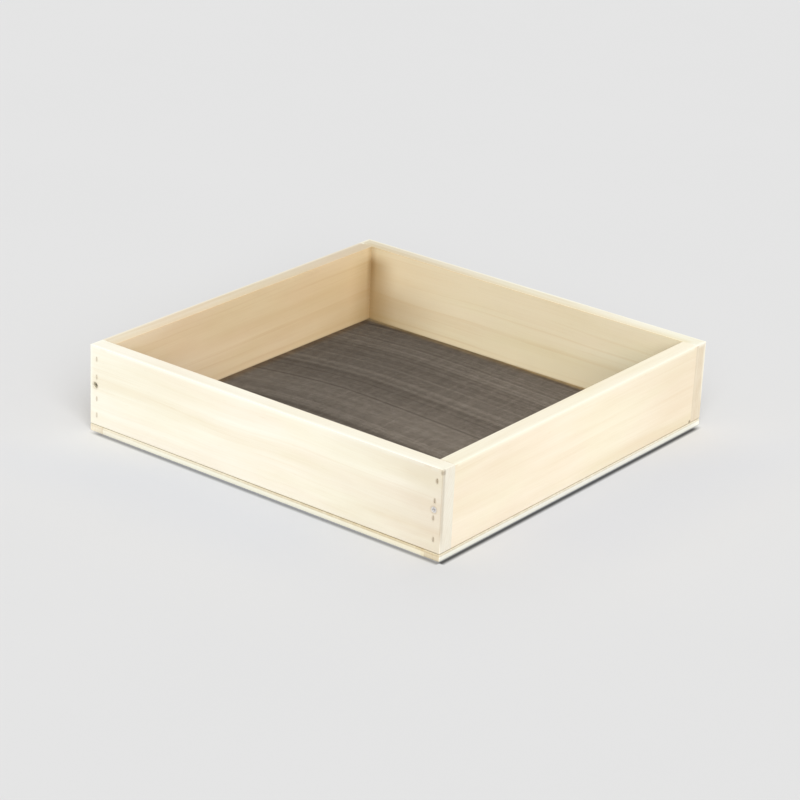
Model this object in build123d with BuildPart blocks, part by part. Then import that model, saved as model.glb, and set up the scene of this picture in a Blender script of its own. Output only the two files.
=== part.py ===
"""A shallow square hive box: four planed boards around a wire-screen floor, which eight parts clamp.

Origin at the bottom centre. X runs along the front board, Y from the front board to the back board, Z up.
The front and back boards run the full width and cap the side boards. The side slats run the full depth and
cap the front and back slats, so the two rings of joints are staggered.
"""

import os
from build123d import *

# ---- Driving dimensions, mm ----
plan = 500.0  # outside length of each side of the box
board_t = 20.0  # thickness of the boards, and so the width of the slats under them
board_h = 96.0
slat_t = 8.0
wire_d = 0.4  # wire of the screen, which is two wires thick where they cross
screen_inset = 2.0  # how far inside the outer faces the screen is trimmed
arris = 0.8  # radius of the eased arrises

# Narrow-crown staples: a flat wire bent to a U with chisel points
crown = 6.0  # across the crown
staple_wire = (1.0, 1.2)  # wire across the bend, and wire along the row
bend = 0.5  # how much the outside of the bend is rounded off
chisel = 1.6
board_leg = 38.0  # from the crown's back to the points
slat_leg = 25.0
staple_sink = 0.4  # depth of the crown below the wood

# Countersunk wood screws, one at mid height of each corner
head_r = 3.5
head_rim = 0.4  # thickness of the head at its edge
shank_r = 2.0  # over the thread
screw_length = 45.0
point_length = 4.0
recess_width = 1.0
recess_across = 3.9
recess_depth = 2.0
recess_taper = 12
screw_fit = 0.05

# Where the fasteners of a corner go: distance from the box's centre plane, height above the base
staple_places = {
    "left": ((240.0, 89.0), (240.0, 67.4), (240.0, 41.0), (240.0, 21.0)),
    "right": ((242.5, 90.0), (240.6, 67.0), (239.7, 47.4), (241.0, 23.4)),
}
screw_x = {"left": 242.0, "right": 240.0}
screw_z = 57.0
screw_sink = {"left": 1.6, "right": 0.3}  # a screw driven deep, and one left nearly flush

# Along each slat, from its middle
side_slat_staples = (-200.0, -100.0, 0.0, 100.0, 200.0)
end_slat_staples = (-195.0, -65.0, 65.0, 195.0)

# ---- Derived ----
half = plan / 2
inner_half = half - board_t
screen_t = 2 * wire_d
board_z = slat_t + screen_t
top_z = board_z + board_h
joint_line = half - board_t / 2  # centre line of every board and slat
head_depth = head_rim + head_r - shank_r  # a 90 degree cone is as deep as it is wide past the shank
across = {"left": -1, "right": 1}
away = {"front": -1, "back": 1}
turn = {"front": 0, "back": 180}  # turns a fastener drawn for the front board to face the other way

os.makedirs("parts", exist_ok=True)


def write(part, name):
    part.label = name
    export_step(part, f"parts/{name}.step")


# ---- Staples ----
def staple_outline(leg, back):
    """A staple in its own plane: the back of its crown along Y at x = back, its legs along +X to x = leg."""
    inside = staple_sink + staple_wire[0], crown / 2 - staple_wire[0]
    with BuildSketch() as outline:
        with BuildLine():
            Polyline(
                (back, crown / 2),
                (leg - chisel, crown / 2),
                (leg, inside[1]),
                inside,
                (inside[0], -inside[1]),
                (leg, -inside[1]),
                (leg - chisel, -crown / 2),
                (back, -crown / 2),
                close=True,
            )
        make_face()
        if back > 0:
            chamfer(outline.vertices().group_by(Axis.X)[0], bend)
    return outline.sketch


def corner_staples(side, end, back):
    """The four staples that nail a front or back board onto the end of a side board."""
    outline = staple_outline(staple_sink + board_leg, back)
    with BuildPart() as staples:
        for x, z in staple_places[side]:
            with BuildSketch(Plane.YZ.offset(across[side] * x - staple_wire[1] / 2)):
                with Locations((away[end] * half, z)):
                    add(outline, rotation=turn[end])
            extrude(amount=staple_wire[1])
    return staples.part


def slat_staples(centres, along_x, back):
    """Staples driven up through a slat and the screen into a board, crowns along the slat."""
    outline = staple_outline(staple_sink + slat_leg, back)
    with BuildPart() as staples:
        for u, v in centres:
            plane = Plane.XZ.offset(-v) if along_x else Plane.YZ.offset(v)
            with BuildSketch(plane.offset(-staple_wire[1] / 2)):
                with Locations((u, 0)):
                    add(outline, rotation=90)
            extrude(amount=staple_wire[1])
    return staples.part


# ---- Screws ----
def screw_outline(grow, mouth):
    """Half of a screw's section: its axis along +X from the top of its head at x = 0."""
    with BuildSketch() as outline:
        with BuildLine():
            Polyline(
                (mouth, 0),
                (mouth, head_r + grow),
                (head_rim + grow, head_r + grow),
                (head_depth + grow, shank_r + grow),
                (screw_length - point_length, shank_r + grow),
                (screw_length + grow, 0),
                close=True,
            )
        make_face()
    return outline.sketch


def screw_body(side, end, grow, mouth):
    """The turned body of a corner's screw. With grow and mouth it is the hole that takes the screw."""
    x, y = across[side] * screw_x[side], away[end] * (half - screw_sink[side])
    outline = screw_outline(grow, mouth)
    with BuildPart() as body:
        with BuildSketch(Plane.YZ.offset(x)):
            with Locations((y, screw_z)):
                add(outline, rotation=turn[end])
        revolve(axis=Axis((x, 0, screw_z), (0, 1, 0)))
    return body.part


def driven_screw(side, end):
    """A screw with its cross recess, sunk into the face of a front or back board."""
    x, y = across[side] * screw_x[side], away[end] * (half - screw_sink[side])
    with BuildPart() as screw:
        add(screw_body(side, end, 0, 0))
        with BuildSketch(Plane(origin=(x, y, screw_z), x_dir=(1, 0, 0), z_dir=(0, -away[end], 0))):
            Rectangle(recess_across, recess_width)
            Rectangle(recess_width, recess_across)
        extrude(amount=recess_depth, taper=recess_taper, mode=Mode.SUBTRACT)
    return screw.part


# ---- Every fastener, and the pocket that it leaves in the wood ----
pockets = []
for end in away:
    for side in across:
        write(corner_staples(side, end, staple_sink), f"staples_{end}_{side}")
        write(driven_screw(side, end), f"screw_{end}_{side}")
        pockets.append(corner_staples(side, end, 0))
        pockets.append(screw_body(side, end, screw_fit, -screw_sink[side]))
for end, sign in away.items():
    row = [(u, sign * joint_line) for u in end_slat_staples]
    write(slat_staples(row, True, staple_sink), f"staples_{end}_slat")
    pockets.append(slat_staples(row, True, 0))
for side, sign in across.items():
    row = [(u, sign * joint_line) for u in side_slat_staples]
    write(slat_staples(row, False, staple_sink), f"staples_{side}_slat")
    pockets.append(slat_staples(row, False, 0))


# ---- Boards and slats: planed stock, butted at the corners ----
def is_arris(edge):
    """True for an edge that a hand can reach, and False for one that lies in a joint."""
    middle = edge.center()
    reach = sorted((abs(middle.X), abs(middle.Y)))
    outside = reach[1] > half - 0.01
    rim = middle.Z > top_z - 0.01 or middle.Z < 0.01
    in_joint = abs(reach[0] - inner_half) < 0.01
    return (outside or rim) and not in_joint


planks = {}
for end, sign in away.items():
    planks[f"{end}_board"] = ((0, sign * joint_line), (plan, board_t), board_z, board_h)
    planks[f"{end}_slat"] = ((0, sign * joint_line), (2 * inner_half, board_t), 0, slat_t)
for side, sign in across.items():
    planks[f"{side}_board"] = ((sign * joint_line, 0), (board_t, 2 * inner_half), board_z, board_h)
    planks[f"{side}_slat"] = ((sign * joint_line, 0), (board_t, plan), 0, slat_t)

for name, (centre, size, base, height) in planks.items():
    with BuildPart() as plank:
        with BuildSketch(Plane.XY.offset(base)):
            with Locations(centre):
                Rectangle(*size)
        extrude(amount=height)
        fillet(plank.edges().filter_by(is_arris), arris)
        for pocket in pockets:
            add(pocket, mode=Mode.SUBTRACT)
    write(plank.part, name)

# ---- Wire screen: its outer shape, clamped between the boards and the slats ----
with BuildPart() as screen:
    with BuildSketch(Plane.XY.offset(slat_t)):
        Rectangle(plan - 2 * screen_inset, plan - 2 * screen_inset)
    extrude(amount=screen_t)
    for pocket in pockets:
        add(pocket, mode=Mode.SUBTRACT)
write(screen.part, "wire_screen")
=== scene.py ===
# %% [markdown]
# # A screened hive box
#
# Beekeepers stack shallow boxes like this one between the bodies of a hive, for ventilation or for dry
# insulation. Four planed boards stand on a fine wire screen, and four thin slats clamp the screen from
# below. The construction comes from CAD as a fixed frame. Blender adds what CAD leaves out: the weave of
# the screen, the grain of the wood, the marks of the tools, and soft light.

# %% Load the frame
import math
import random

import bpy
from mathutils import Matrix, Vector


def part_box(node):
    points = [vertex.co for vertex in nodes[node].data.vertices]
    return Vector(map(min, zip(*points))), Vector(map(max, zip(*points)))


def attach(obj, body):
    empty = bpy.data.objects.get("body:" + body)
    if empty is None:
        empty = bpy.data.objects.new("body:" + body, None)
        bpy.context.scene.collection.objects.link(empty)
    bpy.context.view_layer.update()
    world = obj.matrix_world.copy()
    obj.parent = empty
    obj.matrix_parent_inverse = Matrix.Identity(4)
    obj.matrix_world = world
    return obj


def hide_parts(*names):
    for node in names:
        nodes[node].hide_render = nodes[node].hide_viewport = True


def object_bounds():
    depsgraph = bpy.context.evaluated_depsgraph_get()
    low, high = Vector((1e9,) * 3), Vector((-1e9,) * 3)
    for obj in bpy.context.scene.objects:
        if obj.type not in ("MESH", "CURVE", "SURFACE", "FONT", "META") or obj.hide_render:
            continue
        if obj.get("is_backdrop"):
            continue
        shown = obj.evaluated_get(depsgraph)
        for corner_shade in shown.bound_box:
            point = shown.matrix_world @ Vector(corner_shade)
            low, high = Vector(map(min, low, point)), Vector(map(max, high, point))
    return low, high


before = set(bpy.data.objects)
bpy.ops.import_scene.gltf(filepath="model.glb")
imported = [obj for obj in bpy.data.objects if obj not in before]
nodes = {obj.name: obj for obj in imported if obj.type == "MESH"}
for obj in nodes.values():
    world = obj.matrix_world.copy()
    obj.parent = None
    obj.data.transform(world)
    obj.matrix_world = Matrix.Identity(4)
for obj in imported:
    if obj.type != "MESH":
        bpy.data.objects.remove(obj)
cad_low, cad_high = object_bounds()
MM = 0.001
print("box of the CAD model:", [round(v / MM, 1) for v in (*cad_low, *cad_high)], "mm")

# %% [markdown]
# ## The camera
#
# A product picture is taken from far away with a long lens, so that the box keeps its square look and its
# far corner doesn't shrink. The camera is placed by an azimuth, an elevation and a distance around a target
# point, because those are easy to read and to change. A small roll levels the picture.

# %% Place the camera
azimuth, elevation, roll = math.radians(37.24), math.radians(22.67), math.radians(2.61)
target = Vector((0.0246, -0.0325, 0.051))
distance = 3.123

back = Vector((
    math.sin(azimuth) * math.cos(elevation),
    -math.cos(azimuth) * math.cos(elevation),
    math.sin(elevation),
))
right = Vector((math.cos(azimuth), math.sin(azimuth), 0))
up = back.cross(right)
right, up = (
    right * math.cos(roll) + up * math.sin(roll),
    up * math.cos(roll) - right * math.sin(roll),
)
camera = bpy.data.objects.new("camera", bpy.data.cameras.new("camera"))
bpy.context.scene.collection.objects.link(camera)
camera.data.lens = 124.1
camera.data.sensor_width = 36.0
turned = Matrix((right, up, back)).transposed().to_4x4()
camera.matrix_world = Matrix.Translation(target + distance * back) @ turned
bpy.context.scene.camera = camera
print("camera at", [round(v, 3) for v in camera.location])

# %% [markdown]
# ## The studio
#
# The box stands on a pale floor under soft light, as in a light tent. An even white world fills every side.
# A broad key sun stands low over the near corner, so that both near faces and the rim get the same light
# and the shadow falls behind the box. A weak fill sun keeps the far sides alive. Because a sun lights the
# floor evenly, the floor keeps one tone from edge to edge.


# %% Build the studio
def clear_selection():
    """Deselects everything, so that an operator acts only on what is picked next."""
    if bpy.context.object and bpy.context.object.mode != "OBJECT":
        bpy.ops.object.mode_set(mode="OBJECT")
    bpy.ops.object.select_all(action="DESELECT")


def sun(name, toward, strength, angle):
    """A sun that shines from the direction `toward`, with a soft edge of `angle` degrees."""
    lamp = bpy.data.lights.new(name, "SUN")
    lamp.energy = strength
    lamp.angle = math.radians(angle)
    holder = bpy.data.objects.new(name, lamp)
    holder.rotation_euler = Vector(toward).to_track_quat("Z", "Y").to_euler()
    bpy.context.scene.collection.objects.link(holder)


sun("key", (0.42, -0.42, 0.46), 2.46, 50)
sun("fill", (-0.6, 0.5, 0.35), 0.45, 80)

world = bpy.data.worlds.new("tent")
bpy.context.scene.world = world
world.use_nodes = True
sky = world.node_tree.nodes["Background"]
sky.inputs["Color"].default_value = (1.0, 1.0, 1.0, 1)
sky.inputs["Strength"].default_value = 0.55

clear_selection()
bpy.ops.mesh.primitive_plane_add(size=40)  # metres, so that its edge is never in view
floor = bpy.context.object
floor.name = "floor"
floor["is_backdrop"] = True
bpy.context.scene.view_settings.view_transform = "Standard"
print("studio: world", sky.inputs["Strength"].default_value, "and", len(bpy.data.lights), "suns")

# %% [markdown]
# ## Helpers for materials
#
# Every finish here is a node tree on Object coordinates, which are metres in the box's own frame. Small
# helpers keep the cells short. The first few add one node, or a group, and link its inputs. The next few
# are the moves that every finish repeats: multiply masks, mix colours, and turn a distance into a soft
# mask. The last ones start a group or a material. A number that is the same all over a surface goes
# straight onto its socket.


# %% Node helpers
def add_node(tree, kind, settings=None, **inputs):
    """Adds a node. An input given as an output socket is linked, and any other value is set on the socket."""
    node = tree.nodes.new(kind)
    for key, value in (settings or {}).items():
        setattr(node, key, value)
    for key, value in inputs.items():
        name = key.replace("_", " ")
        socket = node.inputs[int(key[1:])] if key[0] == "i" and key[1:].isdigit() else node.inputs[name]
        if isinstance(value, bpy.types.NodeSocket):
            tree.links.new(value, socket)
        else:
            socket.default_value = value
    return node


def placed(tree, group, **inputs):
    """Places a node group in a tree with its inputs, and gives its outputs."""
    return add_node(tree, "ShaderNodeGroup", {"node_tree": group}, **inputs).outputs


def xyz(tree, vector):
    """The three parts of a vector."""
    return add_node(tree, "ShaderNodeSeparateXYZ", Vector=vector).outputs


def maths(tree, operation, a, b=0.0, c=0.0, clamp=False):
    """One Math node's result."""
    settings = {"operation": operation, "use_clamp": clamp}
    return add_node(tree, "ShaderNodeMath", settings, i0=a, i1=b, i2=c).outputs[0]


def vectors(tree, operation, **inputs):
    """One Vector Math node's result."""
    return add_node(tree, "ShaderNodeVectorMath", {"operation": operation}, **inputs).outputs[0]


# %% Mask and colour helpers
def product(tree, *masks):
    """Masks multiplied together, so that each one narrows the place that the others leave."""
    total = masks[0]
    for mask in masks[1:]:
        total = maths(tree, "MULTIPLY", total, mask)
    return total


def mixed(tree, factor, a, b, blend="MIX"):
    """Two colours mixed by a factor."""
    node = add_node(tree, "ShaderNodeMix", {"data_type": "RGBA", "blend_type": blend}, i0=factor, i6=a, i7=b)
    return node.outputs[2]


def filtered(tree, colour, tint):
    """A colour multiplied by a tint, as under a thin stain."""
    return mixed(tree, 1.0, colour, tint, "MULTIPLY")


def ramp(tree, value, low, high, to_low=0.0, to_high=1.0):
    """Maps low..high to to_low..to_high with a soft start and end."""
    node = add_node(tree, "ShaderNodeMapRange", {"interpolation_type": "SMOOTHSTEP"}, Value=value)
    for name, number in zip(("From Min", "From Max", "To Min", "To Max"), (low, high, to_low, to_high)):
        node.inputs[name].default_value = number
    return node.outputs[0]


def noise(tree, vector, detail, roughness=0.5, stretch=(1, 1, 1), seed=(0, 0, 0), scale=1.0):
    """Noise from 0 to 1 on a coordinate that is stretched, then shifted by a seed."""
    place = add_node(tree, "ShaderNodeMapping", Vector=vector, Scale=stretch, Location=seed).outputs[0]
    node = add_node(tree, "ShaderNodeTexNoise", Vector=place, Scale=scale, Detail=detail, Roughness=roughness)
    return node.outputs["Fac"]


# %% Starting a group or a material
def new_group(name, inputs, outputs):
    """A shader node group with named sockets: lists of (name, type), with a default where one is needed."""
    tree = bpy.data.node_groups.new(name, "ShaderNodeTree")
    for in_out, sockets in (("INPUT", inputs), ("OUTPUT", outputs)):
        for label, kind, *default in sockets:
            socket = tree.interface.new_socket(label, in_out=in_out, socket_type="NodeSocket" + kind)
            if default:
                socket.default_value = default[0]
    return tree, tree.nodes.new("NodeGroupInput"), tree.nodes.new("NodeGroupOutput")


def give(tree, result, **values):
    """Links values to the outputs of a group by name."""
    for name, value in values.items():
        tree.links.new(value, result.inputs[name])


def new_material(name):
    """An empty material with a Principled shader: the material, its tree, the shader and its coordinates."""
    material = bpy.data.materials.new(name)
    material.use_nodes = True
    tree = material.node_tree
    shader = tree.nodes["Principled BSDF"]
    place = tree.nodes.new("ShaderNodeTexCoord")
    return material, tree, shader, place


def dress(piece, material):
    """Gives a piece one material and no other."""
    piece.data.materials.clear()
    piece.data.materials.append(material)


def srgb(red, green, blue):
    """A colour picked as 0..255 on a screen, as the linear values that shaders use."""
    def linear(v):
        v /= 255
        return v / 12.92 if v <= 0.04045 else ((v + 0.055) / 1.055) ** 2.4
    return (linear(red), linear(green), linear(blue), 1.0)


print("a mid grey of 128 is", round(srgb(128, 128, 128)[0], 3), "as a linear value")

# %% [markdown]
# ## The floor
#
# The floor is matt paper. Its tone is set so that it renders as the pale grey of a studio sweep under these
# lamps, with a very slight mottle so that it isn't one dead colour. Pale wood throws warm light on the
# paper in front of it, so the paper's colour is painted darker there to offset that light, though less past the
# near corner. Under the box the paper is painted dark, as painted shade where light has to pass the screen
# twice. Along the foot of the two sides that face the camera, a narrow painted contact shadow is darker still.

# %% Finish the floor
outer_wall = cad_high.x  # how far the box's outer faces stand from its middle
paper, tree, shader, place = new_material("paper_floor")
mottle = noise(tree, place.outputs["Object"], 3, scale=3.0)
tone = mixed(tree, mottle, srgb(219, 219, 219), srgb(221, 221, 221))
spot = xyz(tree, place.outputs["Object"])
forward = maths(tree, "MULTIPLY", spot[1], -1.0)
reach = maths(tree, "MAXIMUM", maths(tree, "ABSOLUTE", spot[0]), maths(tree, "ABSOLUTE", spot[1]))
near_side = ramp(tree, maths(tree, "SUBTRACT", spot[0], spot[1]), 0.0, 0.2)
past_corner = ramp(tree, maths(tree, "MINIMUM", spot[0], forward), 0.05, 0.30, 0.95, 0.10)
# the paper is painted darker in front of the box, on the sides that face the camera, to offset warm bounce
# light
bounce = product(tree, ramp(tree, reach, outer_wall, outer_wall + 0.20, 1.0, 0.0), near_side, past_corner)
tone = mixed(tree, bounce, tone, filtered(tree, tone, (0.90, 0.925, 0.985, 1)))
# painted shade on the paper under the box
under_box = ramp(tree, reach, outer_wall - 0.012, outer_wall - 0.006, 1.0, 0.0)
tone = mixed(tree, under_box, tone, srgb(104, 98, 90))
# a narrow painted contact shadow along the foot of the two sides that face the camera
for out, sideways, shadow_depth in ((forward, spot[0], 0.62), (spot[0], forward, 0.90)):
    line = product(
        tree,
        ramp(tree, out, outer_wall - 0.0012, outer_wall + 0.0012, 0.0, shadow_depth),
        ramp(tree, out, outer_wall + 0.003, outer_wall + 0.009, 1.0, 0.0),
        ramp(tree, sideways, -outer_wall + 0.001, -outer_wall + 0.018),
        ramp(tree, sideways, outer_wall, outer_wall + 0.003, 1.0, 0.0),
    )
    tone = mixed(tree, line, tone, srgb(40, 40, 39))
tree.links.new(tone, shader.inputs["Base Color"])
shader.inputs["Roughness"].default_value = 0.95
shader.inputs["Specular IOR Level"].default_value = 0.0
dress(floor, paper)
print("floor:", len(tree.nodes), "nodes")

# %% [markdown]
# ## Wood: grain along the board
#
# The boards are a pale, fine-grained timber, planed and left bare. Its look is in layers, and each layer is
# the same noise stretched a different amount along the grain: broad tonal bands from the growth rings, thin
# darker latewood lines, silky fibres, and short open pores. Two slow clouds add what a plank has from end
# to end: paler and deeper parts, and a rosy or a straw tint. Because every board needs the same layers with
# its own colours, they live in one node group that expects the grain to run along its X. Depth is what the
# darkest wood is multiplied by, so one pale tone is enough to describe a plank.

# %% Node group: grain
grain, given, result = new_group(
    "wood_grain",
    [
        ("Vector", "Vector"), ("Light", "Color"), ("Depth", "Color", (0.84, 0.74, 0.60, 1)),
        ("Bands", "Float"), ("Streaks", "Float"), ("Clouds", "Float"),
    ],
    [("Color", "Color"), ("Height", "Float"), ("Roughness", "Float")],
)
vector = given.outputs["Vector"]
sway = noise(grain, vector, 2, stretch=(2.2, 6, 6), seed=(3, 1, 7))
swayed = vectors(grain, "SCALE", i0=(0, 0.012, 0.03), Scale=sway)
bent = vectors(grain, "ADD", i0=vector, i1=swayed)

bands = ramp(grain, noise(grain, bent, 3, 0.55, stretch=(1.0, 30, 42)), 0.32, 0.70)
latewood = ramp(grain, noise(grain, bent, 2, 0.5, stretch=(1.6, 120, 210)), 0.52, 0.72)
fibres = noise(grain, bent, 4, 0.65, stretch=(14, 700, 900))
pores = ramp(grain, noise(grain, bent, 2, 0.5, stretch=(70, 1500, 1900)), 0.66, 0.76)
cloud = ramp(grain, noise(grain, vector, 3, stretch=(5, 18, 24), seed=(9, 4, 2)), 0.35, 0.72)
tint = ramp(grain, noise(grain, vector, 2, stretch=(6, 14, 20), seed=(2, 8, 5)), 0.38, 0.66)

share = maths(grain, "MULTIPLY", bands, given.outputs["Bands"])
share = maths(grain, "MULTIPLY_ADD", maths(grain, "MULTIPLY", latewood, given.outputs["Streaks"]), 0.55, share)
share = maths(grain, "MULTIPLY_ADD", maths(grain, "SUBTRACT", fibres, 0.5), 0.35, share)
share = maths(grain, "MULTIPLY_ADD", cloud, given.outputs["Clouds"], share)
share = maths(grain, "MULTIPLY_ADD", pores, 0.25, share, clamp=True)
deep = filtered(grain, given.outputs["Light"], given.outputs["Depth"])
colour = mixed(grain, share, given.outputs["Light"], deep)
tinted = filtered(grain, colour, mixed(grain, tint, (1.0, 0.985, 0.975, 1), (0.985, 0.99, 0.95, 1)))
height = maths(grain, "MULTIPLY_ADD", latewood, 0.35, maths(grain, "MULTIPLY", fibres, 0.9))
height = maths(grain, "SUBTRACT", height, maths(grain, "MULTIPLY", pores, 0.8))
gloss = maths(grain, "MULTIPLY_ADD", fibres, 0.16, 0.50)
give(grain, result, Color=tinted, Height=height, Roughness=gloss)
print("grain group:", len(grain.nodes), "nodes")

# %% [markdown]
# ## Wood: end grain
#
# Where a saw crosses the grain, the growth rings show as arcs and the fibres as tiny open ends. A ring wave
# centred outside the board gives the arcs, a fine round noise gives the fibre ends, and faint straight
# lines stand for the saw's teeth. This group works in the plane of the cut, and takes the cut's own two
# colours.

# %% Node group: end grain
ends, given, result = new_group(
    "end_grain",
    [("Vector", "Vector"), ("Light", "Color"), ("Dark", "Color")],
    [("Color", "Color"), ("Height", "Float")],
)
vector = given.outputs["Vector"]
wobble = noise(ends, vector, 3, stretch=(60, 60, 60))
centre = add_node(ends, "ShaderNodeMapping", Vector=vector, Location=(0, -0.012, 0.05)).outputs[0]
shifted = vectors(ends, "MULTIPLY_ADD", i0=(0, 0.009, 0.009), i1=wobble, i2=centre)
rings = add_node(
    ends, "ShaderNodeTexWave", {"wave_type": "RINGS", "rings_direction": "X", "wave_profile": "SIN"},
    Vector=shifted, Scale=80.0, Distortion=1.2, Detail=2.0,
).outputs["Fac"]
patches = noise(ends, vector, 3, 0.6, stretch=(90, 110, 60), seed=(4, 4, 1))
tubes = noise(ends, vector, 3, 0.6, stretch=(900, 900, 900))
saw = noise(ends, vector, 1, 0.5, stretch=(20, 60, 1100))
share = maths(ends, "MULTIPLY_ADD", ramp(ends, rings, 0.55, 1.0), 0.20, maths(ends, "MULTIPLY", tubes, 0.35))
share = maths(ends, "MULTIPLY_ADD", ramp(ends, patches, 0.35, 0.70), 0.30, share)
share = maths(ends, "MULTIPLY_ADD", maths(ends, "SUBTRACT", saw, 0.5), 0.08, share, clamp=True)
colour = mixed(ends, share, given.outputs["Light"], given.outputs["Dark"])
height = maths(ends, "MULTIPLY_ADD", saw, 0.4, maths(ends, "MULTIPLY", tubes, 0.7))
give(ends, result, Color=colour, Height=height)
print("end grain group:", len(ends.nodes), "nodes")

# %% [markdown]
# ## Wood: arrises
#
# The long corners of a board are its arrises. They are painted a little brighter than the faces, as a painted
# highlight where the light catches them. A board is nearly a box, so its arrises can be found by arithmetic:
# how far a point lies inside each pair of faces, and then the second smallest of the three distances. It is
# near nothing only where two faces meet.

# %% Node group: arris mask
arrises, given, result = new_group(
    "arris_mask",
    [("Vector", "Vector"), ("Centre", "Vector"), ("Half", "Vector"), ("Width", "Float", 0.006)],
    [("Mask", "Float")],
)
offset = vectors(arrises, "SUBTRACT", i0=given.outputs["Vector"], i1=given.outputs["Centre"])
inside = vectors(arrises, "SUBTRACT", i0=given.outputs["Half"], i1=vectors(arrises, "ABSOLUTE", i0=offset))
depth = xyz(arrises, inside)
nearest = maths(arrises, "MINIMUM", depth[0], depth[1])
second = maths(arrises, "MAXIMUM", depth[0], depth[1])
second = maths(arrises, "MAXIMUM", nearest, maths(arrises, "MINIMUM", second, depth[2]))
near = maths(arrises, "DIVIDE", second, given.outputs["Width"])
give(arrises, result, Mask=ramp(arrises, near, 0.0, 1.0, 1.0, 0.0))
print("arris group:", len(arrises.nodes), "nodes")

# %% [markdown]
# ## Wood: the joints
#
# A nailed box isn't clean where its parts meet. The far inner corner and the near inner corners are darkened
# with painted shade in the tone of resin, and painted shade spreads out from the corners low down. A dark
# crack stands in each inner corner. The inner sides of the slats under the screen and a narrow line at the
# foot of the walls are painted brown as shade, and outside, the gap over the slats is edged with tan as
# painted shade in the joint's groove. The box is square and centred, so masks on its coordinates find these
# places on every board at once. The larger of |x| and |y| tells the inner walls from the outer faces, and the
# smaller one tells how far the nearest corner is. Two more masks serve the arrises: Outside keeps them to
# the outer faces, and Clear keeps them off the joints. Inward finds the inner half of the rim, which is darker.

# %% Node group: joint marks
inner_wall = outer_wall - 20 * MM  # the boards are 20 mm thick
rim_z = cad_high.z
screen_low, screen_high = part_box("wire_screen")
joints, given, result = new_group(
    "joint_marks",
    [("Vector", "Vector")],
    [(label, "Float") for label in ("Corner", "Crack", "Drift", "Foot", "Seam", "Outside", "Clear", "Inward")],
)
place = xyz(joints, given.outputs["Vector"])
across, along = maths(joints, "ABSOLUTE", place[0]), maths(joints, "ABSOLUTE", place[1])
larger, smaller = maths(joints, "MAXIMUM", across, along), maths(joints, "MINIMUM", across, along)
within = ramp(joints, larger, inner_wall + 0.0001, inner_wall + 0.0006, 1.0, 0.0)
rough = noise(joints, given.outputs["Vector"], 3, 0.6, stretch=(160, 160, 60))

# painted shade in the inner corners, and low down spreading out from them
far_corner = ramp(joints, maths(joints, "SUBTRACT", place[1], place[0]), 0.25, 0.42, 0.25, 1.0)
near_corner = ramp(joints, place[1], -0.225, -0.185, 0.5, 0.0)
dirt_and_shade = product(joints, maths(joints, "MAXIMUM", far_corner, near_corner), within)
below_rim = ramp(joints, place[2], 0.080, 0.101, 1.0, 0.18)
corner_shade = product(joints, ramp(joints, smaller, inner_wall - 0.046, inner_wall, 0.0, 0.62), dirt_and_shade, below_rim)
low_drift_shade = product(joints, ramp(joints, smaller, inner_wall - 0.150, inner_wall, 0.0, 0.57), dirt_and_shade,
                ramp(joints, place[2], 0.030, 0.085, 1.0, 0.12))
crack = product(joints, ramp(joints, smaller, inner_wall - 0.0100, inner_wall - 0.0010, 0.0, 0.58),
                ramp(joints, place[2], 0.015, 0.095, 0.35, 1.0), dirt_and_shade,
                maths(joints, "MAXIMUM", below_rim, 0.5))

# the foot is painted shade in brown: over the slats' inner sides under the screen and in a narrow line at the
# bottom of the walls, with a faint edge above it
narrow = ramp(joints, place[2], screen_high.z - 0.0004, screen_high.z + 0.0003, 1.0, 0.0)
faint = ramp(joints, place[2], screen_high.z, screen_high.z + 0.0024, 0.20, 0.0)
foot_shade = product(joints, maths(joints, "MAXIMUM", narrow, faint), within)

# painted shade in tan along the groove of the joint over the slats
gap = maths(joints, "ABSOLUTE", maths(joints, "SUBTRACT", place[2], screen_low.z - 0.0006))
seam_shade = product(joints, ramp(joints, gap, 0.0007, 0.0030, 1.0, 0.0),
               ramp(joints, larger, outer_wall - 0.0025, outer_wall - 0.0012),
               ramp(joints, rough, 0.25, 0.55, 0.65, 1.0))
outside = ramp(joints, larger, outer_wall - 0.0098, outer_wall - 0.0088)
from_joint = maths(joints, "ABSOLUTE", maths(joints, "SUBTRACT", smaller, inner_wall))
on_top = product(joints, ramp(joints, place[2], rim_z - 0.0015, rim_z - 0.0005),
                 ramp(joints, larger, outer_wall - 0.0070, outer_wall - 0.0055))
clear = maths(joints, "MAXIMUM", ramp(joints, from_joint, 0.0020, 0.0065), on_top)
# the inner half of the rim, which is darker
inward = product(joints, ramp(joints, place[2], rim_z - 0.0014, rim_z - 0.0006),
                 ramp(joints, larger, inner_wall + 0.001, inner_wall + 0.013, 1.0, 0.0))
give(joints, result, Corner=corner_shade, Crack=crack, Drift=low_drift_shade, Foot=foot_shade, Seam=seam_shade,
     Outside=outside, Clear=clear, Inward=inward)
print("joint group:", len(joints.nodes), "nodes")

# %% [markdown]
# ## Wood: bruises
#
# A staple gun or a screw crushes the fibres round the hole, and they darken. A bruise is an upright soft
# oval round one fastener on the front or back face. Each board face takes the largest of its bruises.

# %% Node group: bruise
bruise, given, result = new_group(
    "bruise",
    [("Vector", "Vector"), ("X", "Float"), ("Z", "Float"), ("Wide", "Float"), ("High", "Float")],
    [("Mask", "Float")],
)
place = xyz(bruise, given.outputs["Vector"])
wide = maths(bruise, "DIVIDE", maths(bruise, "SUBTRACT", place[0], given.outputs["X"]), given.outputs["Wide"])
high = maths(bruise, "DIVIDE", maths(bruise, "SUBTRACT", place[2], given.outputs["Z"]), given.outputs["High"])
radius = maths(bruise, "SQRT", maths(bruise, "MULTIPLY_ADD", wide, wide, maths(bruise, "MULTIPLY", high, high)))
give(bruise, result, Mask=ramp(bruise, radius, 0.25, 1.0, 1.0, 0.0))

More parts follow.
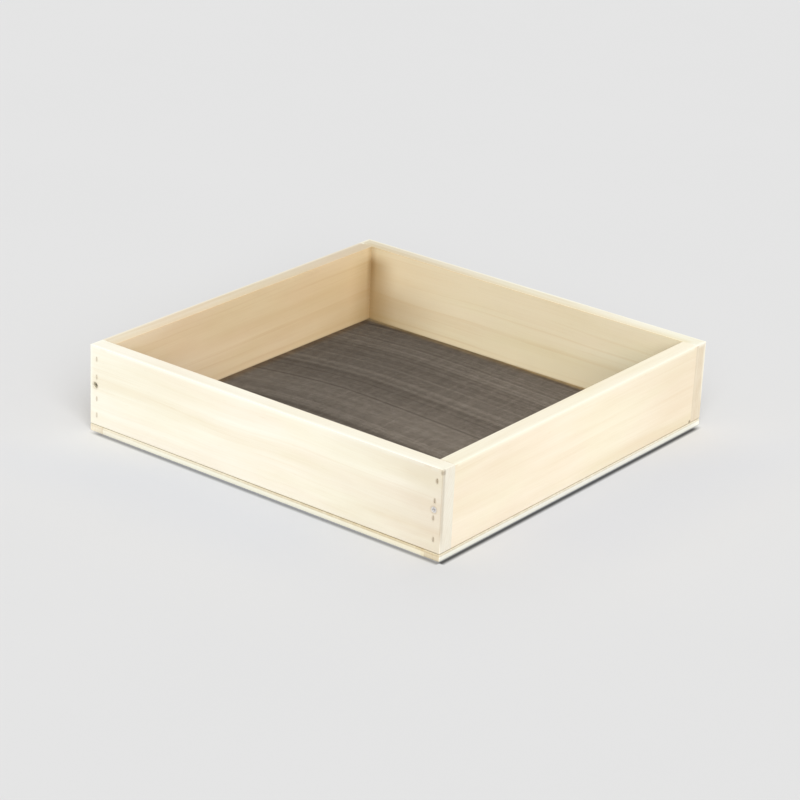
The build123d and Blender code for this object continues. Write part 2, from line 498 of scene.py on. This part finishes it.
# %% Where the fasteners have bruised the wood
# x, z and strength of the bruise round each staple
STAPLE_BRUISES = (
    (-0.2400, 0.0890, 0.26), (-0.2400, 0.0674, 0.28), (-0.2400, 0.0410, 0.30), (-0.2400, 0.0210, 0.24),
    (0.2425, 0.0900, 0.70), (0.2406, 0.0670, 0.45), (0.2397, 0.0474, 0.40), (0.2410, 0.0234, 0.40),
)
SCREW_X, SCREW_Z = (-0.242, 0.240), 0.057


def bruised(tree, spot, x, z, wide, high):
    """The mask of one bruise at x and z, with its half width and half height."""
    return placed(tree, bruise, Vector=spot, X=x, Z=z, Wide=wide, High=high)["Mask"]


def bruises(tree, spot):
    """The darkest bruise at this place."""
    worst = 0.0
    for x, z, strength in STAPLE_BRUISES:
        mark = product(tree, bruised(tree, spot, x, z, 0.0026, 0.0046), strength)
        worst = maths(tree, "MAXIMUM", mark, worst)
    for x in SCREW_X:
        mark = product(tree, bruised(tree, spot, x, SCREW_Z, 0.0062, 0.0062), 0.5)
        worst = maths(tree, "MAXIMUM", mark, worst)
    return worst


print("bruises round", len(STAPLE_BRUISES), "staples and", len(SCREW_X), "screws on each end board")

# %% [markdown]
# ## The eight wooden pieces
#
# Each piece of wood was cut from its own plank, so each gets its own material with its own tones, its own
# place in the grain noise and its own grain direction. The material turns the coordinates so that the grain
# runs along the group's X, and shows end grain where the surface faces along the grain. A face has three
# tones, at its two ends and in the middle. The insides of the back and left boards are painted tanner than
# their outsides, as painted shade and warm bounce light inside the box, so those two have an outer tone, and
# the back board is painted paler low down inside, as painted light against the shadow of the right board. A
# rim that faces up has two tones of its own, one at each end of the board.


# %% Wood tones
def wood_tone(tree, length, normal, outside, face, outer, rim):
    """A plank's pale tone: three along the faces, one on the outside if given, and two where it faces up."""
    tone = mixed(tree, ramp(tree, length, -0.24, -0.02), face[0], face[1])
    tone = mixed(tree, ramp(tree, length, 0.02, 0.24), tone, face[2])
    if outer:
        tone = mixed(tree, outside, tone, outer)
    return mixed(tree, ramp(tree, normal[2], 0.30, 0.70), tone,
                 mixed(tree, ramp(tree, length, -0.24, 0.24), rim[0], rim[1]))


def near_end_marks(tree, colour, spot, normal):
    """The near end of the front board: darker towards that end, and a dark line with a knock down its sharp
    arris.
    """
    place = xyz(tree, spot)
    patchy = ramp(tree, noise(tree, spot, 3, stretch=(10, 20, 34), seed=(1, 6, 2)), 0.30, 0.62, 0.62, 1.0)
    darker_end = product(tree, ramp(tree, place[0], 0.02, 0.30), patchy,
                   ramp(tree, maths(tree, "ABSOLUTE", normal[1]), 0.6, 0.9))
    colour = mixed(tree, darker_end, colour, filtered(tree, colour, (0.82, 0.775, 0.735, 1)))
    line = product(tree, ramp(tree, place[1], -0.2480, -0.2452, 1.0, 0.0), ramp(tree, place[0], 0.2480, 0.2495),
                   ramp(tree, place[2], 0.010, 0.040, 0.0, 0.36))
    knock = product(tree, bruised(tree, spot, 0.2500, 0.101, 0.0044, 0.0046),
                    ramp(tree, place[1], -0.2475, -0.2450, 0.65, 0.0))
    return mixed(tree, maths(tree, "MAXIMUM", line, knock), colour, srgb(146, 128, 100))


# %% Stains and marks
# the tone of the painted shade in the inner corners
CORNER_SHADE_TONE = srgb(153, 119, 62)


def stained(tree, colour, marks, upwards, length, at_end, drift_shade_strength, corner_shade_height, gap):
    """Painted shade at the joints: in the corners and spreading low from them, a brown foot, and tan along the
    seam; and the dark crack in each inner corner.
    """
    colour = mixed(tree, product(tree, marks["Drift"], drift_shade_strength), colour, CORNER_SHADE_TONE)
    corner_shade = product(tree, marks["Corner"], ramp(tree, upwards, 0.030, 0.085, *corner_shade_height))
    colour = mixed(tree, corner_shade, colour, CORNER_SHADE_TONE)
    colour = mixed(tree, marks["Crack"], colour, srgb(150, 116, 66))
    colour = mixed(tree, product(tree, marks["Foot"], 0.85), colour, srgb(84, 60, 34))
    tan = product(tree, ramp(tree, length, -0.15, 0.15, *gap), maths(tree, "MULTIPLY_ADD", at_end, -0.35, 1.0))
    return mixed(tree, product(tree, marks["Seam"], tan), colour, srgb(180, 152, 86))


def own_marks(tree, name, colour, spot, lengthwise, normal, outside, seed):
    """What only one or two pieces have: painted shade along the foot of the right slat, a darker near end, a
    chip, and bruises round the fasteners.
    """
    if name == "right_slat":
        # painted shade along the foot of the right slat's outer face
        slat_foot_shade = product(tree, ramp(tree, xyz(tree, spot)[2], 0.0002, 0.0018, 0.45, 0.0), outside)
        colour = mixed(tree, slat_foot_shade, colour, srgb(120, 118, 110))
    if name == "front_board":
        colour = near_end_marks(tree, colour, spot, normal)
    if name == "right_board":
        # the turned coordinates run along this board, and the seed has moved them
        chip = bruised(tree, lengthwise, 0.2278 + seed, 0.0108, 0.0034, 0.0030)
        chip = product(tree, chip, ramp(tree, normal[0], 0.8, 0.95, 0.0, 0.7))
        colour = mixed(tree, chip, colour, srgb(120, 104, 78))
    if name in ("front_board", "back_board"):
        outer_face = ramp(tree, maths(tree, "ABSOLUTE", normal[1]), 0.8, 0.95)
        bruised_face = product(tree, bruises(tree, spot), outer_face)
        colour = mixed(tree, bruised_face, colour, srgb(138, 110, 76))
    return colour


# %% Wood material
def wood(name, along, face, rim, cut_tones, bands=0.3, streaks=0.3, clouds=0.25, seed=0.0, outer=None,
         edge=srgb(252, 251, 238), highlight=0.70, drift_shade_strength=0.3, corner_shade_height=(0.65, 0.5), gap=(0.3, 0.3),
         inner_rim_tint=(1.0, 0.995, 0.985, 1)):
    """Makes the material of one board or slat, whose grain runs along X or Y, and gives it to the piece."""
    low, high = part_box(name)
    axis = "XY".index(along)
    material, tree, shader, place = new_material("wood_" + name)
    spot = place.outputs["Object"]
    normal, here = xyz(tree, place.outputs["Normal"]), xyz(tree, spot)
    length, upwards = here[axis], here[2]
    marks = placed(tree, joints, Vector=spot)
    tone = wood_tone(tree, length, normal, marks["Outside"], face, outer, rim)

    quarter = math.radians(-90) if along == "Y" else 0.0
    lengthwise = add_node(
        tree, "ShaderNodeMapping", Vector=spot, Rotation=(0, 0, quarter), Location=(seed, seed, 0)
    ).outputs[0]
    side = placed(tree, grain, Vector=lengthwise, Light=tone, Bands=bands, Streaks=streaks, Clouds=clouds)
    cut = placed(tree, ends, Vector=lengthwise, Light=cut_tones[0], Dark=cut_tones[1])
    at_end = ramp(tree, maths(tree, "ABSOLUTE", normal[axis]), 0.6, 0.8)
    colour = mixed(tree, at_end, side["Color"], cut["Color"])

    half = (high - low) / 2
    if high[axis] < outer_wall - 0.01:
        half[axis] += 0.01  # both ends of this piece lie in joints, so the box is lengthened past them
    # a painted highlight along the arrises
    highlighted = product(tree, placed(tree, arrises, Vector=spot, Centre=(low + high) / 2, Half=half)["Mask"],
                    product(tree, marks["Clear"], highlight))
    if name.endswith("board"):
        highlighted = product(tree, highlighted, ramp(tree, upwards, 0.02, 0.05), marks["Outside"])
    else:
        highlighted = product(tree, highlighted, maths(tree, "SUBTRACT", 1.0, at_end))
    if name == "front_board":  # its upright arris at the near corner is dark, so it isn't brightened
        highlighted = product(tree, highlighted, ramp(tree, length, 0.241, 0.247, 1.0, 0.0))
    # edge is the colour of the painted highlight on the arrises
    colour = mixed(tree, highlighted, colour, edge)
    colour = mixed(tree, marks["Inward"], colour, filtered(tree, colour, inner_rim_tint))
    if name == "back_board":
        # painted light low down on the right of the back board's inner face, against the shadow of the right
        # board
        painted_light_low = product(tree, ramp(tree, upwards, 0.014, 0.044, 0.65, 0.0), ramp(tree, length, -0.09, 0.0),
                         ramp(tree, normal[1], -0.95, -0.80, 1.0, 0.0))
        colour = mixed(tree, painted_light_low, colour, srgb(254, 242, 208))
    colour = stained(tree, colour, marks, upwards, length, at_end, drift_shade_strength, corner_shade_height, gap)
    colour = own_marks(tree, name, colour, spot, lengthwise, normal, marks["Outside"], seed)

    height = add_node(tree, "ShaderNodeMix", {"data_type": "FLOAT"}, i0=at_end,
                      i2=side["Height"], i3=cut["Height"])
    bump = add_node(tree, "ShaderNodeBump", Height=height.outputs[0], Strength=0.25, Distance=0.0002)
    tree.links.new(colour, shader.inputs["Base Color"])
    tree.links.new(side["Roughness"], shader.inputs["Roughness"])
    tree.links.new(bump.outputs[0], shader.inputs["Normal"])
    shader.inputs["Specular IOR Level"].default_value = 0.3
    dress(nodes[name], material)


# %% Finish the boards and slats
side_cut = srgb(232, 219, 196), srgb(216, 198, 168)
wood("front_board", "X", (srgb(251, 248, 236), srgb(252, 248, 234), srgb(251, 247, 232)),
     (srgb(250, 248, 237), srgb(250, 248, 236)), (srgb(238, 233, 218), srgb(226, 216, 196)),
     gap=(0.22, 0.50), inner_rim_tint=(1.0, 0.99, 0.975, 1))
wood("right_board", "Y", (srgb(246, 235, 214), srgb(252, 243, 223), srgb(243, 231, 208)),
     (srgb(246, 242, 224), srgb(249, 243, 224)), side_cut,
     bands=0.28, streaks=0.22, seed=1.7, edge=srgb(251, 248, 229), gap=(0.42, 0.32))
# the face tones of the back and left boards carry painted shade and warm bounce light from inside the box
wood("back_board", "X", (srgb(250, 238, 207), srgb(251, 239, 208), srgb(255, 248, 223)),
     (srgb(221, 213, 191), srgb(246, 245, 229)), side_cut,
     bands=0.22, streaks=0.55, clouds=0.22, seed=3.1, outer=srgb(252, 246, 228),
     drift_shade_strength=1.0, corner_shade_height=(0.90, 1.22), inner_rim_tint=(0.945, 0.89, 0.80, 1))
wood("left_board", "Y", (srgb(250, 231, 202), srgb(243, 221, 186), srgb(241, 219, 182)),
     (srgb(233, 223, 202), srgb(215, 203, 182)), side_cut,
     streaks=0.55, clouds=0.35, seed=4.9, outer=srgb(252, 243, 223),
     highlight=0.5, drift_shade_strength=0.35, inner_rim_tint=(0.98, 0.935, 0.86, 1))
pale, tanned, paler = srgb(255, 253, 240), srgb(248, 237, 212), srgb(255, 254, 245)
wood("front_slat", "X", (pale, pale, tanned), (pale, tanned), (pale, tanned),
     bands=0.35, streaks=0.35, seed=6.3, edge=srgb(253, 249, 231), gap=(0.30, 0.56))
wood("back_slat", "X", (pale, pale, pale), (pale, pale), (pale, tanned), bands=0.35, streaks=0.35, seed=7.3)
wood("left_slat", "Y", (pale, pale, pale), (pale, pale), (srgb(245, 237, 216), srgb(230, 214, 184)),
     bands=0.35, streaks=0.35, seed=8.3)
wood("right_slat", "Y", (paler, paler, paler), (pale, pale), (srgb(233, 220, 191), srgb(221, 204, 171)),
     bands=0.05, streaks=0.1, clouds=0.0, seed=9.3, edge=srgb(255, 253, 240), gap=(0.44, 0.36))
print("finished", sum(m.name.startswith("wood_") for m in bpy.data.materials), "pieces of wood")

# %% [markdown]
# ## The wire screen
#
# The screen is fine wire cloth, about eighteen wires to the inch each way. A sheet that fine is always a
# little out of true: the cross wires bow where the cloth was pulled off its roll, their spacing is uneven,
# and some wires are duller than others, which shows as soft streaks. So each wire is a real rod with its
# own place and its own tone. One short-sided cylinder is cut into spans, copied for every wire, bent by
# moving its vertices, and the whole sheet is trimmed square at the end, as with shears. The cross wires lie
# on the long wires instead of passing over and under: at this size the eye can't tell, and a true weave
# would need fifty times the faces.

# %% Sizes and bow of the wires
wire_r = (screen_high.z - screen_low.z) / 4
pitch = 1.4 * MM
half_screen = screen_high.x
crown_x = -0.100  # where the cross wires bow furthest to the back
rise, fall = 0.030, 0.022  # how far they climb from the left edge, and drop again to the right


def bow(x, y):
    """How far a cross wire is pulled along Y at x, always to the front. Those at the back are straightest."""
    if x < crown_x:
        slack = 1.0 - 0.35 * min(1.0, max(0.0, (y - 0.05) / 0.12))
        return -rise * slack * ((crown_x - x) / (half_screen + crown_x)) ** 1.6
    return -fall * ((x - crown_x) / (half_screen - crown_x)) ** 1.4


# %% One wire
def one_wire(name, along, spans, height):
    """A four-sided rod across the sheet, cut into equal spans so that it can bend."""
    clear_selection()
    turn = (0, math.radians(90), 0) if along == "X" else (math.radians(90), 0, 0)
    length = 2 * half_screen + 2 * MM  # a little over, because the sheet is trimmed later
    bpy.ops.mesh.primitive_cylinder_add(
        vertices=4, radius=wire_r, depth=length, end_fill_type="NGON", location=(0, 0, height), rotation=turn
    )
    wire = bpy.context.object
    wire.name = name
    bpy.ops.object.transform_apply(location=True, rotation=True)
    bpy.ops.object.mode_set(mode="EDIT")
    normal = (1, 0, 0) if along == "X" else (0, 1, 0)
    for i in range(1, spans):
        bpy.ops.mesh.select_all(action="SELECT")
        at = -length / 2 + length * i / spans
        bpy.ops.mesh.bisect(plane_co=[n * at for n in normal], plane_no=normal)
    bpy.ops.object.mode_set(mode="OBJECT")
    return wire


# %% Where the wires go, and how dull each one is
def uneven(count, rng, low_drift_shade, jitter):
    """Places of count wires about a pitch apart, drifting closer and further in soft waves."""
    # each wave has a length in wires, a phase and a strength
    waves = [(rng.uniform(4, 14), rng.uniform(0, math.tau), rng.uniform(0.4, 1.0)) for _ in range(9)]
    places, at = [], 0.0
    for i in range(count):
        swing = sum(a * math.sin(math.tau * i / n + p) for n, p, a in waves) / len(waves)
        at += pitch * (1 + low_drift_shade * swing)
        places.append(at + rng.gauss(0, jitter * pitch))
    middle = (places[0] + places[-1]) / 2
    return [p - middle for p in places]


def lots(count, rng):
    """A tone from 0 to 1 for each wire. It wanders, so that wires side by side are nearly alike."""
    kept, wander, spread = 0.74, 0.15, 0.03  # how much of the last wire's tone stays, and two spreads of chance
    level, tones = 0.5, []
    for _ in range(count):
        level = 0.5 + (level - 0.5) * kept + rng.gauss(0, wander)
        tones.append(min(1.0, max(0.0, level + rng.gauss(0, spread))))
    return tones


# %% Weaving a sheet
def weave(name, along, places, tones, spans, height, shape):
    """Copies one wire to every place, moves each corner by shape(corner, place) and trims the sheet square."""
    first = one_wire(name, along, spans, height)
    copies = []
    for place, tone in zip(places, tones):
        copy = first.copy()
        copy.data = first.data.copy()
        bpy.context.scene.collection.objects.link(copy)
        for vertex in copy.data.vertices:
            vertex.co += shape(vertex.co, place)
        lot = copy.data.attributes.new("tone", "FLOAT", "POINT")
        lot.data.foreach_set("value", [tone] * len(copy.data.vertices))
        copies.append(copy)
    clear_selection()
    for copy in copies:
        copy.select_set(True)
    bpy.context.view_layer.objects.active = copies[0]
    bpy.data.objects.remove(first)
    bpy.ops.object.join()
    sheet = bpy.context.object
    sheet.name = name
    bpy.ops.object.mode_set(mode="EDIT")
    for normal in ((1, 0, 0), (-1, 0, 0), (0, 1, 0), (0, -1, 0)):
        bpy.ops.mesh.select_all(action="SELECT")
        edge = [n * half_screen for n in normal]
        bpy.ops.mesh.bisect(plane_co=edge, plane_no=normal, clear_outer=True, use_fill=True)
    bpy.ops.object.mode_set(mode="OBJECT")
    return sheet


# %% Weave the screen
rng = random.Random(12)
count = int(2 * half_screen / pitch)
spare, set_back = 20, 0.010  # the bow pulls cross wires forward, so they start further back and there are more
cross_places = uneven(count + spare, rng, 0.26, 0.030)
long_places = uneven(count, rng, 0.05, 0.02)
weft = weave(
    "screen_cross_wires", "X", cross_places, lots(len(cross_places), rng), 14, screen_high.z - wire_r,
    lambda co, place: Vector((0, place + set_back + bow(co.x, place), 0)),
)
warp = weave(
    "screen_long_wires", "Y", long_places, lots(count, rng), 4, screen_low.z + wire_r,
    lambda co, place: Vector((place, 0, 0)),
)
for sheet in (weft, warp):
    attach(sheet, "root")
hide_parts("wire_screen")
print("screen:", len(cross_places), "cross wires,", len(long_places), "long wires,",
      sum(len(s.data.polygons) for s in (weft, warp)), "faces")

# %% [markdown]
# ## Metal
#
# The screen is dull wire that has weathered brown. Its colour is painted lighter towards the right and next to
# the front wall, as painted light. It is browner along the far walls, with a paler band against the back board.
# The staples are galvanised and have tarnished, with pale dust on those at the left, and the screws are bright
# zinc. The three finishes share one group that gives a patchy tarnish with fine drawn scratches, so that each
# metal only sets its own two colours.

# %% Node group: tarnish
tarnish, given, result = new_group(
    "metal_tarnish",
    [("Vector", "Vector"), ("Clean", "Color"), ("Dull", "Color"), ("Scale", "Float")],
    [("Color", "Color"), ("Height", "Float"), ("Roughness", "Float")],
)
scaled = vectors(tarnish, "SCALE", i0=given.outputs["Vector"], Scale=given.outputs["Scale"])
patches = noise(tarnish, scaled, 4, 0.6)
scratches = noise(tarnish, scaled, 2, 0.5, stretch=(0.6, 9, 9), seed=(5, 2, 1))
share = maths(tarnish, "MULTIPLY_ADD", scratches, 0.3, ramp(tarnish, patches, 0.35, 0.65), clamp=True)
colour = mixed(tarnish, share, given.outputs["Clean"], given.outputs["Dull"])
uneven_gloss = maths(tarnish, "MULTIPLY_ADD", share, 0.25, 0.32)
give(tarnish, result, Color=colour, Height=scratches, Roughness=uneven_gloss)
print("tarnish group:", len(tarnish.nodes), "nodes")


# %% Metal materials
def metal(name, scale, metallic, **tones):
    """A finish from the tarnish group: the material, its tree, its shader, the group's node and x, y and z."""
    material, tree, shader, place = new_material(name)
    spot = place.outputs["Object"]
    worn = add_node(tree, "ShaderNodeGroup", {"node_tree": tarnish}, Vector=spot, Scale=scale, **tones)
    bump = add_node(tree, "ShaderNodeBump", Height=worn.outputs["Height"], Strength=0.2, Distance=0.00005)
    tree.links.new(worn.outputs["Color"], shader.inputs["Base Color"])
    tree.links.new(worn.outputs["Roughness"], shader.inputs["Roughness"])
    tree.links.new(bump.outputs[0], shader.inputs["Normal"])
    shader.inputs["Metallic"].default_value = metallic
    return material, tree, shader, worn, xyz(tree, spot)


# %% Screen and staple finishes
screen_wire, tree, shader, worn, place = metal("screen_wire", 120.0, 0.25)
lot = add_node(tree, "ShaderNodeAttribute", {"attribute_name": "tone"}).outputs["Fac"]
# painted light: the wires are lighter towards the right and next to the front wall
painted_light_ramp = product(tree, ramp(tree, place[0], -0.26, 0.16, 1.1, 2.3),
                  ramp(tree, place[1], -0.235, -0.205, 1.35, 1.0))
to_wall = maths(tree, "MAXIMUM", maths(tree, "ABSOLUTE", place[0]), maths(tree, "ABSOLUTE", place[1]))
browner_far_walls = product(tree, ramp(tree, to_wall, inner_wall - 0.014, inner_wall - 0.001),
                 ramp(tree, maths(tree, "SUBTRACT", place[1], place[0]), -0.1, 0.1))
swept = ramp(tree, place[1], inner_wall - 0.0090, inner_wall - 0.0010)
for label, bright, dark in (
    ("Clean", srgb(129, 121, 111), srgb(77, 68, 59)),
    ("Dull", srgb(120, 112, 102), srgb(71, 63, 54)),
):
    wire_tone = vectors(tree, "SCALE", i0=mixed(tree, lot, bright, dark), Scale=painted_light_ramp)
    brown = mixed(tree, browner_far_walls, wire_tone, filtered(tree, wire_tone, (1.0, 0.78, 0.50, 1)))
    paler_band_tone = filtered(tree, brown, (2.10, 2.30, 2.10, 1))
    tree.links.new(mixed(tree, swept, brown, paler_band_tone), worn.inputs[label])

staple_wire, tree, shader, worn, place = metal(
    "staple_wire", 900.0, 0.40, Clean=srgb(186, 174, 150), Dull=srgb(132, 114, 90)
)
dusty = ramp(tree, place[0], -0.1, 0.1, 0.45, 0.12)
tree.links.new(mixed(tree, dusty, worn.outputs["Color"], srgb(232, 222, 198)), shader.inputs["Base Color"])

# %% [markdown]
# A screw head that sits deep in its hole, and the recess of every head, hold dust and oil and take a dull tone,
# darker at the left, where it is also painted shade for the deep hole, while a head near the surface is bright.
# How deep a point lies behind the board's face decides it.
# Dust is packed round the rim of the bright heads.

# %% Screw finish
screw_zinc, tree, shader, worn, place = metal(
    "screw_zinc", 700.0, 0.55, Clean=srgb(238, 236, 235), Dull=srgb(200, 197, 195)
)
deep = maths(tree, "ABSOLUTE", place[1])
# a dull tone of dust and oil in the recesses and on deep heads, darker at the left as painted shade
dirt_and_shade = ramp(tree, deep, cad_high.y - 0.0013, cad_high.y - 0.0005, 0.92, 0.0)
dirt_and_shade_tone = mixed(tree, ramp(tree, place[0], -0.1, 0.1), srgb(158, 150, 126), srgb(214, 209, 203))
off_x, off_z = maths(tree, "SUBTRACT", place[0], SCREW_X[1]), maths(tree, "SUBTRACT", place[2], SCREW_Z)
radius = maths(tree, "SQRT", maths(tree, "MULTIPLY_ADD", off_x, off_x, maths(tree, "MULTIPLY", off_z, off_z)))
packed = product(tree, ramp(tree, radius, 0.0020, 0.0034, 0.0, 0.65), ramp(tree, place[0], 0.0, 0.1))
dirt_and_shade = maths(tree, "MAXIMUM", dirt_and_shade, packed)
tree.links.new(mixed(tree, dirt_and_shade, worn.outputs["Color"], dirt_and_shade_tone), shader.inputs["Base Color"])
tree.links.new(maths(tree, "MULTIPLY_ADD", dirt_and_shade, -0.5, 0.5), shader.inputs["Metallic"])

# %% Give the metal its finishes
for sheet in (weft, warp):
    dress(sheet, screen_wire)
for name, node in nodes.items():
    if name.startswith(("staples_", "screw_")):
        dress(node, staple_wire if name.startswith("staples_") else screw_zinc)
print("metal finishes:", screen_wire.name, staple_wire.name, screw_zinc.name)

# %% [markdown]
# ## Check and finish
#
# The looks must not change the box's size, so the box of the CAD model and the box of what is now shown are
# written down side by side.

low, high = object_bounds()
print("shown:", [round(v / MM, 1) for v in (*low, *high)], "mm")
